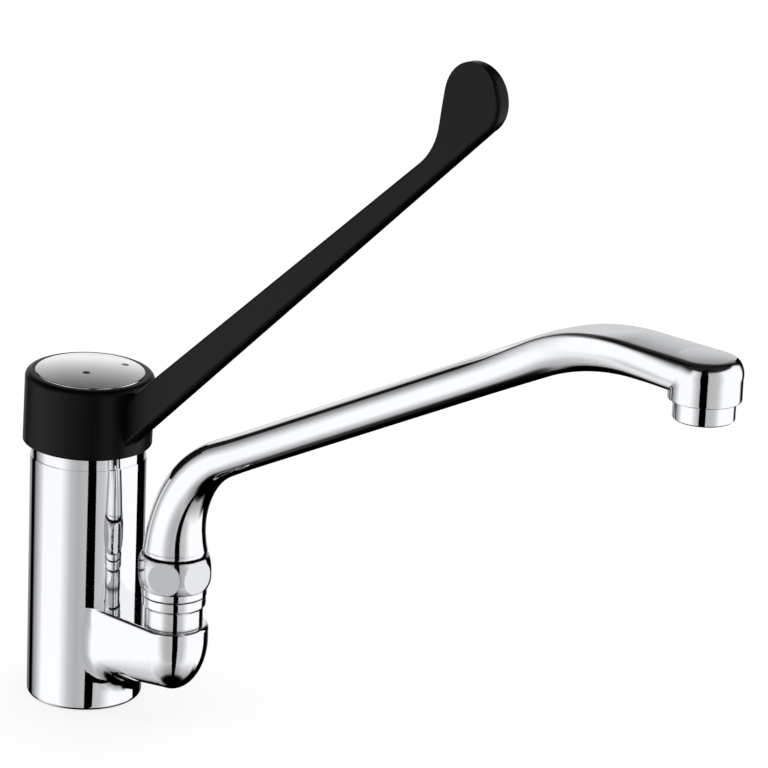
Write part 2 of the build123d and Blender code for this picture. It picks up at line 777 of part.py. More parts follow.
# Moving ceramic disc, drawn where the closed lever holds it
closed_x = -ball_distance * sin(radians(stem_tilt))
moving_bottom = fixed_top + seat_gap
moving_top = moving_bottom + moving_disc_height
with BuildPart() as moving_disc:
    with BuildSketch(Plane.XY.offset(moving_bottom)):
        with Locations((closed_x, 0)):
            Circle(moving_disc_radius)
    extrude(amount=moving_disc_height)
    with BuildSketch(Plane.XY.offset(moving_bottom)):
        with Locations((closed_x, 0)):
            SlotOverall(moving_pocket_length, moving_pocket_width)
    extrude(amount=moving_pocket_depth, mode=Mode.SUBTRACT)
moving_disc.part.label = "moving_disc"
export_step(moving_disc.part, "parts/moving_disc.step")

# Carrier over the moving disc, with the socket for the stem's ball
with BuildPart() as disc_carrier:
    with BuildSketch(Plane.XY.offset(moving_top + seat_gap)):
        with Locations((closed_x, 0)):
            Circle(carrier_radius)
    extrude(amount=carrier_height)
    with BuildSketch(Plane.XY.offset(moving_top + seat_gap + carrier_skirt)):
        with Locations((closed_x, 0)):
            Circle(ball_radius + loose_gap)
    extrude(amount=carrier_height, mode=Mode.SUBTRACT)
disc_carrier.part.label = "disc_carrier"
export_step(disc_carrier.part, "parts/disc_carrier.step")

# Cartridge housing
housing_bottom = base_top + seat_gap
housing_lip = rotor_bottom + rotor_height + running_gap
with BuildPart() as cartridge_housing:
    with BuildSketch(Plane.XZ):
        with BuildLine():
            Polyline(
                (housing_bore, housing_bottom),
                (cartridge_radius, housing_bottom),
                (cartridge_radius, housing_shoulder),
                (housing_collar_radius, housing_shoulder),
                (housing_collar_radius, housing_shoulder + housing_collar_height),
                (rotor_neck_radius + running_gap, housing_shoulder + housing_collar_height),
                (rotor_neck_radius + running_gap, housing_lip),
                (housing_bore, housing_lip),
                close=True,
            )
        make_face()
    revolve(axis=Axis.Z)
cartridge_housing.part.label = "cartridge_housing"
export_step(cartridge_housing.part, "parts/cartridge_housing.step")

# Rotor, which turns in the housing and carries the stem's pin
with BuildPart() as rotor:
    with BuildSketch(Plane.XY.offset(rotor_bottom)):
        Circle(rotor_radius)
    extrude(amount=rotor_height)
    with BuildSketch(Plane.XY.offset(rotor_bottom + rotor_height)):
        Circle(rotor_neck_radius)
    extrude(amount=rotor_neck_top - rotor_bottom - rotor_height)
    with BuildSketch(Plane.XY.offset(rotor_bottom)):
        Rectangle(rotor_slot_length, 2 * (rod_radius + loose_gap))
    extrude(amount=rotor_neck_top - rotor_bottom, mode=Mode.SUBTRACT)
    with BuildSketch(Plane.XZ.offset(-pin_length / 2 - seat_gap)):
        with Locations((0, pivot_height)):
            Circle(pin_radius + seat_gap)
    extrude(amount=pin_length + 2 * seat_gap, mode=Mode.SUBTRACT)
rotor.part.label = "rotor"
export_step(rotor.part, "parts/rotor.step")

# Pivot pin
with BuildPart() as pivot_pin:
    with BuildSketch(Plane.XZ.offset(-pin_length / 2)):
        with Locations((0, pivot_height)):
            Circle(pin_radius)
    extrude(amount=pin_length)
pivot_pin.part.label = "pivot_pin"
export_step(pivot_pin.part, "parts/pivot_pin.step")

# Stem, with a ball foot below the pin and a square for the lever above it
with BuildPart() as cartridge_stem:
    with BuildSketch(square_to(stem_tilt, -ball_distance)):
        Circle(stem_foot_radius)
    extrude(amount=ball_distance)
    with BuildSketch(square_to(stem_tilt, -rod_radius)):
        Circle(rod_radius)
    extrude(amount=square_start + rod_radius)
    with BuildSketch(square_to(stem_tilt, square_start)):
        Rectangle(square_size, square_size)
    extrude(amount=stem_length - square_start)
    with Locations(pivot - leaning(stem_tilt) * ball_distance):
        Sphere(ball_radius)
    with BuildSketch(Plane.XZ.offset(-rod_radius - 1)):
        with Locations((0, pivot_height)):
            Circle(pin_radius + running_gap / 2)
    extrude(amount=2 * rod_radius + 2, mode=Mode.SUBTRACT)
    with BuildSketch(square_to(stem_tilt, stem_length)):
        Circle(hub_screw_radius + thread_gap)
    extrude(amount=-hub_screw_depth, mode=Mode.SUBTRACT)
cartridge_stem.part.label = "cartridge_stem"
export_step(cartridge_stem.part, "parts/cartridge_stem.step")

# Brass ring nut over the cartridge's shoulder, with a collar for the cover ring
with BuildPart() as clamp_nut:
    with BuildSketch(Plane.XY.offset(housing_shoulder + seat_gap)):
        Circle(mouth_radius - thread_gap)
    extrude(amount=body_height - housing_shoulder - seat_gap)
    with BuildSketch(Plane.XY.offset(body_height)):
        Circle(clamp_collar_radius)
    extrude(amount=clamp_collar_height)
    with BuildSketch(Plane.XY.offset(housing_shoulder)):
        Circle(housing_collar_radius + running_gap)
    extrude(amount=body_height - housing_shoulder + clamp_collar_height, mode=Mode.SUBTRACT)
    with BuildSketch(Plane.XY.offset(body_height + clamp_collar_height)):
        with PolarLocations(clamp_collar_radius, clamp_slots):
            Rectangle(clamp_slot_length, clamp_slot_width)
    extrude(amount=-clamp_slot_depth, mode=Mode.SUBTRACT)
clamp_nut.part.label = "clamp_nut"
export_step(clamp_nut.part, "parts/clamp_nut.step")

# Cover ring: skirt on the body's rim and a dome about the lever's pivot
dome_foot = sqrt(cover_ball_radius**2 - cover_radius**2)
dome_inner = cover_ball_radius - cover_wall
inner_radius = cover_radius - cover_wall
inner_foot = sqrt(dome_inner**2 - inner_radius**2)
opening_outer = sqrt(cover_ball_radius**2 - cover_opening**2)
opening_inner = sqrt(dome_inner**2 - cover_opening**2)
with BuildPart() as cover_ring:
    with BuildSketch(Plane.XZ):
        with BuildLine():
            base_z = body_height + seat_gap
            web_z = base_z + cover_web
            Polyline(
                (inner_radius, pivot_height + inner_foot),
                (inner_radius, web_z),
                (clamp_collar_radius + thread_gap, web_z),
                (clamp_collar_radius + thread_gap, base_z),
                (cover_radius, base_z),
                (cover_radius, pivot_height + dome_foot),
            )
            RadiusArc(
                (cover_radius, pivot_height + dome_foot),
                (cover_opening, pivot_height + opening_outer),
                -cover_ball_radius,
            )
            Line(
                (cover_opening, pivot_height + opening_outer),
                (cover_opening, pivot_height + opening_inner),
            )
            RadiusArc(
                (cover_opening, pivot_height + opening_inner),
                (inner_radius, pivot_height + inner_foot),
                dome_inner,
            )
        make_face()
    revolve(axis=Axis.Z)
cover_ring.part.label = "cover_ring"
export_step(cover_ring.part, "parts/cover_ring.step")

# Outline points of the bar and paddle, from the pivot
top_dir = Vector(cos(radians(bar_top_angle)), sin(radians(bar_top_angle)))
low_dir = Vector(cos(radians(bar_bottom_angle)), sin(radians(bar_bottom_angle)))
side_dir = Vector(cos(radians(paddle_side_angle)), sin(radians(paddle_side_angle)))
paddle_centre = Vector(paddle_centre_x, paddle_centre_rise)
side_point = paddle_centre + Vector(-side_dir.Y, side_dir.X) * paddle_radius
top_root = Vector(bar_root_x, bar_top_rise)
low_root = Vector(bar_root_x, bar_bottom_rise)
to_side = side_point - top_root
side_share = to_side.X * side_dir.Y - to_side.Y * side_dir.X
along_top = side_share / (top_dir.X * side_dir.Y - top_dir.Y * side_dir.X)
neck_corner = top_root + top_dir * along_top
neck_tangent = paddle_neck_radius * tan(radians((paddle_side_angle - bar_top_angle) / 2))
neck_start = neck_corner - top_dir * neck_tangent
neck_end = neck_corner + side_dir * neck_tangent
heel_x = paddle_centre_x + paddle_radius - paddle_heel_drop * tan(radians(90 - (90 + bar_bottom_angle) / 2))
heel = Vector(heel_x, low_root.Y + (heel_x - bar_root_x) * tan(radians(bar_bottom_angle)))
bar_length = (paddle_centre - low_root).length + 2 * paddle_radius
bar_side = Plane(origin=pivot, x_dir=(1, 0, 0), z_dir=(0, -1, 0))
bar_plane = Plane(
    origin=pivot + Vector(low_root.X, 0, low_root.Y),
    x_dir=(low_dir.X, 0, low_dir.Y),
    z_dir=(-low_dir.Y, 0, low_dir.X),
)

# Pocket inside the hub
with BuildPart() as hub_pocket:
    with BuildSketch(hub_level(0)):
        Circle(hub_pocket_radius)
    extrude(amount=hub_ledge)
    with Locations(pivot):
        Sphere(hub_ball_radius + hub_web, mode=Mode.SUBTRACT)

# Lever: hub, bar and paddle in one piece
with BuildPart() as lever:
    with BuildSketch(bar_side.offset(-bar_root_thickness / 2)):
        with BuildLine():
            Line(low_root, top_root)
            Line(top_root, neck_start)
            TangentArc(neck_start, neck_end, tangent=top_dir)
            Line(neck_end, side_point)
            tip = ThreePointArc(
                side_point,
                paddle_centre + Vector(0, paddle_radius),
                paddle_centre + Vector(paddle_radius, 0),
            )
            TangentArc(tip @ 1, heel, tangent=tip % 1)
            Line(heel, low_root)
        make_face()
    extrude(amount=bar_root_thickness)
    with BuildSketch(bar_plane.offset(-bar_length)):
        with BuildLine():
            Polyline(
                (0, -bar_root_thickness / 2),
                (bar_length, -bar_tip_thickness / 2),
                (bar_length, bar_tip_thickness / 2),
                (0, bar_root_thickness / 2),
                close=True,
            )
        make_face()
    extrude(amount=2 * bar_length, mode=Mode.INTERSECT)
    rim = lever.edges().filter_by(Axis.Y, reverse=True)
    fillet(rim, bar_edge_round)
    # hub, with the seat of the cap
    with BuildSketch(hub_section) as hub_profile:
        with BuildLine():
            Polyline(
                (0, hub_bottom),
                (hub_radius, hub_bottom),
                (hub_radius, hub_top),
                (cap_radius + running_gap, hub_top),
                (cap_radius + running_gap, hub_ledge),
                (0, hub_ledge),
                close=True,
            )
        make_face()
        rim_corners = hub_profile.vertices().filter_by(lambda v: abs(v.X - hub_radius) < 0.01)
        fillet(rim_corners.sort_by(Axis.Y)[-1], hub_top_round)
        fillet(rim_corners.sort_by(Axis.Y)[0], hub_bottom_round)
    revolve(axis=hub_axis)
    # pocket over the domed web, and the ball hollow over the cover ring
    add(hub_pocket.part, mode=Mode.SUBTRACT)
    with Locations(pivot):
        Sphere(hub_ball_radius, mode=Mode.SUBTRACT)
    # boss for the stem's square, with the screw hole
    with BuildSketch(square_to(stem_tilt, boss_start)):
        Circle(boss_radius)
    extrude(amount=boss_top - boss_start)
    with BuildSketch(square_to(stem_tilt, boss_start - boss_socket_lead)):
        Rectangle(square_size + 2 * running_gap, square_size + 2 * running_gap)
    extrude(amount=boss_top - boss_start + boss_socket_lead, mode=Mode.SUBTRACT)
    # lobe of the paddle above the crease, thinned away from it on both faces
    crease = neck_start + top_dir * paddle_thinning_start
    crease_share = (crease - low_root).length / bar_length
    crease_half = (bar_root_thickness - (bar_root_thickness - bar_tip_thickness) * crease_share) / 2
    wedge_reach = 2.5 * paddle_radius
    wedge_rise = wedge_reach * tan(radians(paddle_thinning_angle))
    crease_plane = Plane(
        origin=pivot + Vector(crease.X, 0, crease.Y),
        x_dir=(-top_dir.Y, 0, top_dir.X),
        z_dir=(top_dir.X, 0, top_dir.Y),
    )
    for side in (-1, 1):
        with BuildSketch(crease_plane):
            Polygon(
                (0, side * crease_half),
                (wedge_reach, side * bar_root_thickness),
                (wedge_reach, side * (crease_half - wedge_rise)),
                align=None,
            )
        extrude(amount=4 * paddle_radius, mode=Mode.SUBTRACT)
lever.part.label = "lever"
export_step(lever.part, "parts/lever.step")

# Washer cup and screw on the boss, along the stem
with BuildPart() as lever_insert:
    with BuildSketch(square_to(stem_tilt, boss_top + seat_gap)):
        Circle(insert_radius)
        Circle(hub_screw_radius + running_gap, mode=Mode.SUBTRACT)
    extrude(amount=insert_height)
lever_insert.part.label = "lever_insert"
export_step(lever_insert.part, "parts/lever_insert.step")

screw_seat = boss_top + insert_height + 2 * seat_gap
with BuildPart() as lever_screw:
    with BuildSketch(square_to(stem_tilt, screw_seat)):
        Circle(screw_head_radius)
    extrude(amount=screw_head_height)
    fillet(lever_screw.edges().group_by(Axis(pivot, leaning(stem_tilt)))[-1], screw_head_round)
    with BuildSketch(square_to(stem_tilt, screw_seat)):
        Circle(hub_screw_radius)
    extrude(amount=-(screw_seat - stem_length + hub_screw_depth - screw_end_gap))
    with BuildSketch(square_to(stem_tilt, screw_seat + screw_head_height)):
        RegularPolygon(screw_socket / 2, 6, major_radius=False)
    extrude(amount=-screw_socket_depth, mode=Mode.SUBTRACT)
lever_screw.part.label = "lever_screw"
export_step(lever_screw.part, "parts/lever_screw.step")

# Index cap: shallow dome with a snap skirt, and a hole for each dot
cap_ball = (cap_radius**2 + cap_rise**2) / (2 * cap_rise)
cap_ball_height = cap_edge + cap_rise - cap_ball
dots = {"red_dot": red_dot_place, "blue_dot": blue_dot_place}
with BuildPart() as index_cap:
    with BuildSketch(hub_section):
        with BuildLine():
            RadiusArc((0, cap_edge + cap_rise), (cap_radius, cap_edge), cap_ball)
            Polyline(
                (cap_radius, cap_edge),
                (cap_radius, hub_ledge + seat_gap),
                (cap_skirt_radius, hub_ledge + seat_gap),
                (cap_skirt_radius, hub_ledge - cap_skirt_depth),
                (cap_skirt_radius - cap_skirt_wall, hub_ledge - cap_skirt_depth),
                (cap_skirt_radius - cap_skirt_wall, hub_ledge + seat_gap),
                (0, cap_edge + cap_rise - cap_wall),
                (0, cap_edge + cap_rise),
            )
        make_face()
    revolve(axis=hub_axis)
    cap_rim = index_cap.edges().filter_by(GeomType.CIRCLE)
    cap_rim = cap_rim.filter_by(lambda e: abs(e.radius - cap_radius) < 0.01)
    fillet(cap_rim.group_by(hub_axis)[-1], cap_edge_round)
    with BuildSketch(hub_level(cap_edge + cap_rise)):
        with Locations(*dots.values()):
            Circle(dot_radius)
    extrude(amount=-cap_rise - cap_wall, mode=Mode.SUBTRACT)
index_cap.part.label = "index_cap"
export_step(index_cap.part, "parts/index_cap.step")

# Hot and cold dots, flush with the dome
for dot_name, dot_place in dots.items():
    dome_height = cap_ball_height + sqrt(cap_ball**2 - Vector(dot_place).length ** 2)
    with BuildPart() as dot:
        with BuildSketch(hub_level(dome_height - dot_depth)):
            with Locations(dot_place):
                Circle(dot_radius - seat_gap)
        extrude(amount=2 * dot_depth)
        with Locations(hub_root + leaning(hub_tilt) * cap_ball_height):
            Sphere(cap_ball, mode=Mode.INTERSECT)
    dot.part.label = dot_name
    export_step(dot.part, f"parts/{dot_name}.step")
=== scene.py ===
import bisect
import math

import bmesh
import bpy
from mathutils import Matrix, Vector


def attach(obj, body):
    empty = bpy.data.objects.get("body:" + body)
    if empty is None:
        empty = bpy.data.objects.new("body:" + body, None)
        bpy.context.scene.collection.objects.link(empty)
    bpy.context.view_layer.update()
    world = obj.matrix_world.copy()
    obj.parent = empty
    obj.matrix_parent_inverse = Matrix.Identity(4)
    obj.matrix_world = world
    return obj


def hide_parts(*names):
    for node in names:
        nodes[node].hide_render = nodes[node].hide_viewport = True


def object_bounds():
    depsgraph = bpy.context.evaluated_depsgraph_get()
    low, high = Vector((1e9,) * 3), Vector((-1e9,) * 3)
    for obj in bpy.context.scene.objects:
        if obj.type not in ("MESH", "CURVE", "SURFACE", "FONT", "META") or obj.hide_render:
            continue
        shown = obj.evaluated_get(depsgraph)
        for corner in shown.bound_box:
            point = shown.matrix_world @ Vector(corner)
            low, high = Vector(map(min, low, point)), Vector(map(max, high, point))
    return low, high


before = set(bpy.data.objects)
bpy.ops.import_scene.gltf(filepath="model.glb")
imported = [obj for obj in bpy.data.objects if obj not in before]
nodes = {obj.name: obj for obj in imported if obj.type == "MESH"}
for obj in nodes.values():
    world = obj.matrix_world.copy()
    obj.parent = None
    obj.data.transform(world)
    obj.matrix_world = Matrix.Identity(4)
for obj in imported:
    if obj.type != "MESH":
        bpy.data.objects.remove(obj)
cad_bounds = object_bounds()
scene = bpy.context.scene

# Camera: the photograph's view, fitted to the part's axes and rims
AZIMUTH = math.radians(43.0)
ELEVATION = math.radians(17.7998840)
ROLL = math.radians(2.42872208)
DISTANCE = 1.9
FOCAL_PIXELS = 4126.10943
FRAME_PIXELS = 768.0
SENSOR = 36.0
AIM_REACH = 0.135439403
AIM_HEIGHT = 0.157690243
CLIP_START = 0.05
CLIP_END = 20.0

toward = Vector((
    math.sin(AZIMUTH) * math.cos(ELEVATION),
    -math.cos(AZIMUTH) * math.cos(ELEVATION),
    math.sin(ELEVATION),
))
level = Vector((math.cos(AZIMUTH), math.sin(AZIMUTH), 0.0))
upright = toward.cross(level)
right = level * math.cos(ROLL) + upright * math.sin(ROLL)
up = upright * math.cos(ROLL) - level * math.sin(ROLL)
aim = Vector((math.cos(AZIMUTH) * AIM_REACH, math.sin(AZIMUTH) * AIM_REACH, AIM_HEIGHT))
camera_data = bpy.data.cameras.new("view")
camera_data.sensor_width = SENSOR
camera_data.lens = FOCAL_PIXELS / FRAME_PIXELS * SENSOR
camera_data.clip_start = CLIP_START
camera_data.clip_end = CLIP_END
camera = bpy.data.objects.new("view", camera_data)
scene.collection.objects.link(camera)
turn = Matrix((right, up, toward)).transposed().to_4x4()
camera.matrix_world = Matrix.Translation(aim + toward * DISTANCE) @ turn
scene.camera = camera


# Materials

NOISE_LOW = 0.3
NOISE_HIGH = 0.7
# Painted shade in chrome crevices: ambient occlusion up to AO_DARK paints the colour near black, and from
# AO_CLEAR up leaves it as it is
AO_SAMPLES = 12
AO_DARK = 0.45
AO_CLEAR = 0.8
EDGE_SAMPLES = 6


def new_material(name):
    material = bpy.data.materials.new(name)
    material.use_nodes = True
    tree = material.node_tree
    shader = tree.nodes["Principled BSDF"]
    return material, tree, shader


def add_noise(tree, scale, detail, stretch=(1.0, 1.0, 1.0)):
    coords = tree.nodes.new("ShaderNodeTexCoord")
    mapping = tree.nodes.new("ShaderNodeMapping")
    mapping.inputs["Scale"].default_value = stretch
    noise = tree.nodes.new("ShaderNodeTexNoise")
    noise.inputs["Scale"].default_value = scale
    noise.inputs["Detail"].default_value = detail
    tree.links.new(coords.outputs["Object"], mapping.inputs["Vector"])
    tree.links.new(mapping.outputs["Vector"], noise.inputs["Vector"])
    return noise


def drive_roughness(tree, shader, noise, low, high):
    ramp = tree.nodes.new("ShaderNodeMapRange")
    ramp.inputs["From Min"].default_value = NOISE_LOW
    ramp.inputs["From Max"].default_value = NOISE_HIGH
    ramp.inputs["To Min"].default_value = low
    ramp.inputs["To Max"].default_value = high
    tree.links.new(noise.outputs["Fac"], ramp.inputs["Value"])
    tree.links.new(ramp.outputs["Result"], shader.inputs["Roughness"])


def drive_colour(tree, shader, noise, dark, light):
    ramp = tree.nodes.new("ShaderNodeValToRGB")
    ramp.color_ramp.elements[0].position = NOISE_LOW
    ramp.color_ramp.elements[1].position = NOISE_HIGH
    ramp.color_ramp.elements[0].color = (*dark, 1.0)
    ramp.color_ramp.elements[1].color = (*light, 1.0)
    tree.links.new(noise.outputs["Fac"], ramp.inputs["Fac"])
    tree.links.new(ramp.outputs["Color"], shader.inputs["Base Color"])


def add_bump(tree, shader, noise, strength, distance):
    bump = tree.nodes.new("ShaderNodeBump")
    bump.inputs["Strength"].default_value = strength
    bump.inputs["Distance"].default_value = distance
    tree.links.new(noise.outputs["Fac"], bump.inputs["Height"])
    tree.links.new(bump.outputs["Normal"], shader.inputs["Normal"])


# Polished chrome; painted shade darkens its colour towards near black in crevices where pieces meet, and a
# soft edge rounds the shading of edges
def chrome(name, rough_low=0.03, rough_high=0.06, painted_shade_reach=0.0, soft_edge=0.0, level=0.875):
    material, tree, shader = new_material(name)
    shader.inputs["Metallic"].default_value = 1.0
    fine = add_noise(tree, 900.0, 3.0)
    drive_roughness(tree, shader, fine, rough_low, rough_high)
    tint = add_noise(tree, 12.0, 2.0)
    dark = (level - 0.015, level - 0.01, level + 0.005)
    light = (level + 0.015, level + 0.02, level + 0.03)
    drive_colour(tree, shader, tint, dark, light)
    # Painted shade: ambient occlusion within this reach darkens the colour in crevices and between parts,
    # where shade falls
    if painted_shade_reach:
        painted_shade_ao = tree.nodes.new("ShaderNodeAmbientOcclusion")
        painted_shade_ao.samples = AO_SAMPLES
        painted_shade_ao.inputs["Distance"].default_value = painted_shade_reach
        colour = shader.inputs["Base Color"].links[0].from_socket
        depth = tree.nodes.new("ShaderNodeMapRange")
        depth.inputs["From Min"].default_value = AO_DARK
        depth.inputs["From Max"].default_value = AO_CLEAR
        tree.links.new(painted_shade_ao.outputs["AO"], depth.inputs["Value"])
        shade = tree.nodes.new("ShaderNodeMix")
        shade.data_type = "RGBA"
        # Near black colour of the painted shade
        shade.inputs["A"].default_value = (0.01, 0.01, 0.012, 1.0)
        tree.links.new(depth.outputs["Result"], shade.inputs["Factor"])
        tree.links.new(colour, shade.inputs["B"])
        tree.links.new(shade.outputs["Result"], shader.inputs["Base Color"])
    if soft_edge:
        edge = tree.nodes.new("ShaderNodeBevel")
        edge.samples = EDGE_SAMPLES
        edge.inputs["Radius"].default_value = soft_edge
        tree.links.new(edge.outputs["Normal"], shader.inputs["Normal"])
    return material


# Moulded plastic with a fine satin grain
def plastic(name, dark, light, rough_low, rough_high, gloss=0.5):
    material, tree, shader = new_material(name)
    shader.inputs["Specular IOR Level"].default_value = gloss
    cloud = add_noise(tree, 40.0, 3.0)
    drive_colour(tree, shader, cloud, dark, light)
    fine = add_noise(tree, 2600.0, 2.0)
    drive_roughness(tree, shader, fine, rough_low, rough_high)
    add_bump(tree, shader, fine, 0.25, 0.00004)
    return material


# Metal with the fine rings that a turning tool leaves
def turned_metal(name, dark, light, rough_low, rough_high):
    material, tree, shader = new_material(name)
    shader.inputs["Metallic"].default_value = 1.0
    rings = add_noise(tree, 300.0, 3.0, (0.2, 0.2, 6.0))
    drive_colour(tree, shader, rings, dark, light)
    drive_roughness(tree, shader, rings, rough_low, rough_high)
    add_bump(tree, shader, rings, 0.2, 0.00003)
    return material


# Spout: one smooth skin over the CAD solid, drawn along its centre line in millimetres
MM = 0.001
SPOUT_X = 59.4
BASE_RADIUS = 14.8
SKIN_START = 88.3
BEND_START = 90.3
BEND_RADIUS = 55.0
RISE = math.radians(26.86)
NOSE_RADIUS = 115.0
NOSE_HEIGHT = 245.0
NOSE_START_X = 273.6288
OUTLET_X = 359.9
OUTLET_RADIUS = 15.0
OUTLET_END = 236.1
RING_POINTS = 120
FINE_SHARE = 4
ARC_STEPS = 400
SKIN_STEP = 1.5
TURN_SEGMENTS = 128
ROUND_STEPS = 6
MERGE_DISTANCE = 0.00001
CAP_MARGIN = 0.01
SHARP_ANGLE = math.radians(38)

bend_length = BEND_RADIUS * (math.pi / 2 - RISE)
bend_end = (
    SPOUT_X + BEND_RADIUS * (1 - math.sin(RISE)),
    BEND_START + BEND_RADIUS * math.cos(RISE),
)
run_length = (NOSE_START_X - bend_end[0]) / math.cos(RISE)
nose_length = NOSE_RADIUS * RISE
run_start = BEND_START + bend_length
nose_start = run_start + run_length
nose_end = nose_start + nose_length
nose_end_x = NOSE_START_X + NOSE_RADIUS * math.sin(RISE)
skin_end = nose_end + OUTLET_X - nose_end_x


# Place and slope of the centre line at a distance along it, which equals the height up to the bend
def centre_line(along):
    if along < BEND_START:
        return SPOUT_X, along, math.pi / 2
    if along < run_start:
        turn = (along - BEND_START) / BEND_RADIUS
        x = SPOUT_X + BEND_RADIUS * (1 - math.cos(turn))
        return x, BEND_START + BEND_RADIUS * math.sin(turn), math.pi / 2 - turn
    if along < nose_start:
        ahead = along - run_start
        return bend_end[0] + ahead * math.cos(RISE), bend_end[1] + ahead * math.sin(RISE), RISE
    if along < nose_end:
        slope = RISE - (along - nose_start) / NOSE_RADIUS
        x = nose_end_x - NOSE_RADIUS * math.sin(slope)
        return x, NOSE_HEIGHT - NOSE_RADIUS * (1 - math.cos(slope)), slope
    return nose_end_x + along - nose_end, NOSE_HEIGHT, 0.0


# Points of an arc through three points, without the last
def arc_points(first, middle, last):
    ax, ay = first
    bx, by = middle
    cx, cy = last
    d = 2 * (ax * (by - cy) + bx * (cy - ay) + cx * (ay - by))
    if abs(d) < 1e-9:
        shares = range(ARC_STEPS)
        return [(ax + (cx - ax) * k / ARC_STEPS, ay + (cy - ay) * k / ARC_STEPS) for k in shares]
    a2, b2, c2 = ax * ax + ay * ay, bx * bx + by * by, cx * cx + cy * cy
    ux = (a2 * (by - cy) + b2 * (cy - ay) + c2 * (ay - by)) / d
    uy = (a2 * (cx - bx) + b2 * (ax - cx) + c2 * (bx - ax)) / d
    start = math.atan2(ay - uy, ax - ux)
    swing = math.atan2(cy - uy, cx - ux) - start
    if (bx - ax) * (cy - ay) - (by - ay) * (cx - ax) > 0:
        swing %= math.tau
    else:
        swing = -((-swing) % math.tau)
    radius = math.hypot(ax - ux, ay - uy)
    angles = [start + swing * k / ARC_STEPS for k in range(ARC_STEPS)]
    return [(ux + radius * math.cos(angle), uy + radius * math.sin(angle)) for angle in angles]


# Moving average, some times over, round a closed line or along an open one, whose ends stay
def smoothed(values, reach, closed, passes):
    count = len(values)
    for _ in range(passes):
        result = []
        for index in range(count):
            if closed:
                window = [values[(index + k) % count] for k in range(-reach, reach + 1)]
            else:
                half = min(reach, index, count - 1 - index)
                window = values[index - half:index + half + 1]
            result.append(sum(window) / len(window))
        values = result
    return values


# Radius of a section at each ring point. A section is the flat's half width and height, the crown,
# the widest half width and its height, the low corner's half width and drop, and the depth
def section_radii(section):
    flat, top, crown, wide, wide_height, low, drop, depth = section
    corners = ((flat, top), (0.0, crown), (-flat, top), (-wide, wide_height), (-low, -drop),
               (0.0, -depth), (low, -drop), (wide, wide_height), (flat, top))
    outline = []
    for index in range(0, 8, 2):
        outline += arc_points(*corners[index:index + 3])
    outline = sorted((math.atan2(y, x), math.hypot(x, y)) for x, y in outline)
    angles = [angle for angle, _ in outline]
    radii = []
    for index in range(FINE_SHARE * RING_POINTS):
        angle = -math.pi + math.tau * index / (FINE_SHARE * RING_POINTS)
        place = bisect.bisect_left(angles, angle)
        low_angle, low_radius = outline[place - 1]
        high_angle, high_radius = outline[place % len(outline)]
        gap = (high_angle - low_angle) % math.tau
        share = ((angle - low_angle) % math.tau) / gap if gap > 1e-9 else 0.0
        radii.append(low_radius + (high_radius - low_radius) * share)
    return smoothed(radii, 5, True, 2)[::FINE_SHARE]


def round_radii(radius):
    return [radius] * RING_POINTS


# Sections along the spout, each with its place
stations = [(SKIN_START, round_radii(BASE_RADIUS)), (BEND_START, round_radii(14.4))]
for share, radius in ((0.2, 12.9), (0.45, 11.7), (0.68, 10.4), (0.86, 9.35), (1.0, 8.85)):
    stations.append((BEND_START + share * bend_length, round_radii(radius)))
stations += [
    (run_start + 16.0, round_radii(8.62)),
    (run_start + 40.0, round_radii(8.6)),
    (nose_start - 38.0, round_radii(8.6)),
    (nose_start, section_radii((8.6, 7.6, 8.7, 9.6, 0.8, 6.2, 6.2, 8.9))),
    (nose_start + nose_length / 2, section_radii((11.6, 8.55, 9.2, 12.0, 1.6, 6.6, 6.6, 9.2))),
    (nose_end, section_radii((12.4, 8.35, 8.8, 13.1, 2.0, 6.8, 6.7, 9.0))),
    (skin_end - OUTLET_RADIUS, section_radii((12.4, 8.35, 8.8, 14.4, 0.8, 8.0, 6.8, 8.5))),
    (skin_end, section_radii((12.4, 8.35, 8.8, 14.95, 0.0, 8.8, 6.9, 7.6))),
]
places = [place for place, _ in stations]


# How fast the radius at a ring point changes at a station, without overshoot
def station_slope(k, point):
    if k in (0, len(places) - 1):
        return 0.0
    before = (stations[k][1][point] - stations[k - 1][1][point]) / (places[k] - places[k - 1])
    after = (stations[k + 1][1][point] - stations[k][1][point]) / (places[k + 1] - places[k])
    if before * after <= 0:
        return 0.0
    return 2 * before * after / (before + after)


# Radius at a ring point along the spout, on a smooth curve through the stations
def skin_radius(along, point):
    index = min(max(bisect.bisect_right(places, along) - 1, 0), len(places) - 2)
    span = places[index + 1] - places[index]
    t = (along - places[index]) / span
    start = stations[index][1][point]
    end = stations[index + 1][1][point]
    start_slope = station_slope(index, point)
    end_slope = station_slope(index + 1, point)
    return (
        start * (1 + 2 * t) * (1 - t) ** 2 + end * t * t * (3 - 2 * t)
        + span * start_slope * t * (1 - t) ** 2 - span * end_slope * t * t * (1 - t)
    )


skin_length = skin_end - SKIN_START
ring_count = int(skin_length / SKIN_STEP) + 1
alongs = [SKIN_START + skin_length * k / (ring_count - 1) for k in range(ring_count)]
slopes = smoothed([centre_line(along)[2] for along in alongs], 4, False, 2)
lines = []
for point in range(RING_POINTS):
    line = [skin_radius(along, point) for along in alongs]
    lines.append(smoothed(line, 5, False, 3))

# Rings of the skin, closed at both ends for the cut that follows
skin = bmesh.new()
skin_rings = []
for k, along in enumerate(alongs):
    x, z, _ = centre_line(along)
    slope = slopes[k]
    ring = []
    for point in range(RING_POINTS):
        angle = -math.pi + math.tau * point / RING_POINTS
        side = lines[point][k] * math.cos(angle)
        rise = lines[point][k] * math.sin(angle)
        ring.append(skin.verts.new((
            (x - rise * math.sin(slope)) * MM, -side * MM, (z + rise * math.cos(slope)) * MM,
        )))
    skin_rings.append(ring)
for first, second in zip(skin_rings, skin_rings[1:]):
    for point in range(RING_POINTS):
        follow = (point + 1) % RING_POINTS
        skin.faces.new((first[point], first[follow], second[follow], second[point]))
skin.faces.new(skin_rings[0][::-1])
skin.faces.new(skin_rings[-1])


